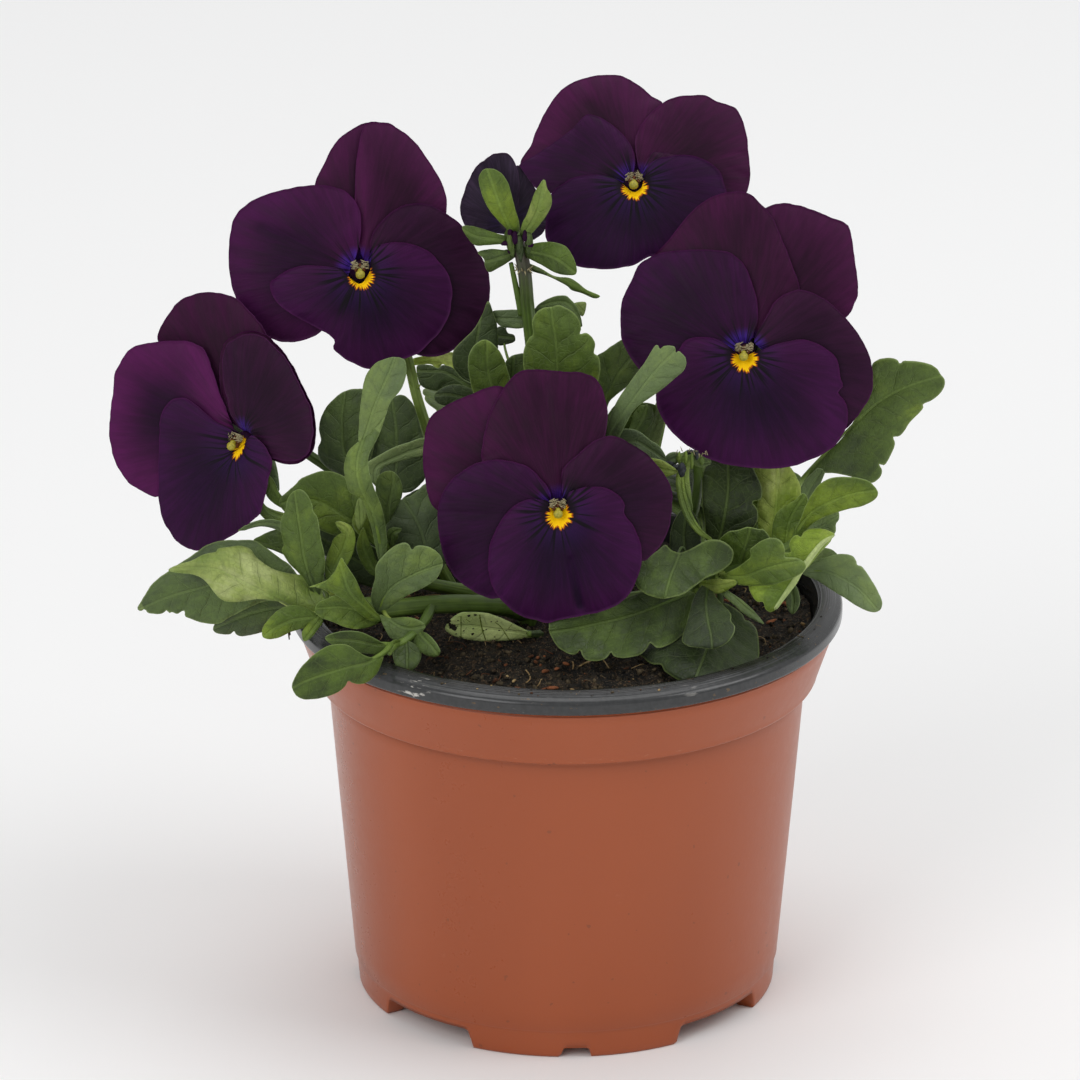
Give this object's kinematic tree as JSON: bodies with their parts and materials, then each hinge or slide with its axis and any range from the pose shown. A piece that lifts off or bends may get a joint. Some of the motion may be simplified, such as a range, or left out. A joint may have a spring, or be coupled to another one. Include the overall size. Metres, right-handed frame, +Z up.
{
  "type": "potted horned violet",
  "caption": "Flowering violet with dark purple petals, yellow throats and leafy shoots in a round plastic pot of soil, for a patio, sill or bed edge.",
  "frame": {"origin": "centre of the plant's bounding box in x and y, on the surface the pot stands on", "axes": "+Z up along the pot's axis, -Y towards the side the flowers face, +X to the right as seen from that side"},
  "size_m": [0.158, 0.105, 0.1694],
  "materials": {
    "terracotta_plastic": "satin",
    "peat_soil": "matte",
    "petal": "matte",
    "leaf": "satin",
    "stem": "satin"
  },
  "bodies": {
    "root": {"front_flower_petal_left": "petal", "front_flower_petal_lower": "petal", "front_flower_petal_right": "petal", "front_flower_petal_upper_left": "petal", "front_flower_petal_upper_right": "petal", "front_flower_stalk": "stem", "leaf_big_right": "leaf", "leaf_crenate_back": "leaf", "leaf_crenate_front": "leaf", "leaf_dark_front": "leaf", "leaf_folded": "leaf", "leaf_kidney": "leaf", "leaf_low_left": "leaf", "leaf_low_right": "leaf", "leaf_over_rim": "leaf", "leaf_pale_left": "leaf", "leaf_right": "leaf", "leaf_round_left": "leaf", "leaf_spotted": "leaf", "leaf_twisted": "leaf", "leaf_upright_left": "leaf", "left_flower_petal_left": "petal", "left_flower_petal_lower": "petal", "left_flower_petal_right": "petal", "left_flower_petal_upper_left": "petal", "left_flower_petal_upper_right": "petal", "left_flower_stalk": "stem", "pot": "terracotta_plastic", "right_flower_petal_left": "petal", "right_flower_petal_lower": "petal", "right_flower_petal_right": "petal", "right_flower_petal_upper_left": "petal", "right_flower_petal_upper_right": "petal", "right_flower_stalk": "stem", "shoot_left": "leaf", "shoot_left_upright": "leaf", "shoot_middle": "leaf", "shoot_rear_left": "leaf", "shoot_rear_right": "leaf", "shoot_right": "leaf", "soil": "peat_soil", "spent_calyx": "stem", "top_flower_petal_left": "petal", "top_flower_petal_lower": "petal", "top_flower_petal_right": "petal", "top_flower_petal_upper_left": "petal", "top_flower_petal_upper_right": "petal", "top_flower_stalk": "stem", "turned_flower_petal_left": "petal", "turned_flower_petal_lower": "petal", "turned_flower_petal_right": "petal", "turned_flower_petal_upper_left": "petal", "turned_flower_petal_upper_right": "petal", "turned_flower_stalk": "stem", "upper_left_flower_petal_left": "petal", "upper_left_flower_petal_lower": "petal", "upper_left_flower_petal_right": "petal", "upper_left_flower_petal_upper_left": "petal", "upper_left_flower_petal_upper_right": "petal", "upper_left_flower_stalk": "stem"}
  },
  "joints": []
}
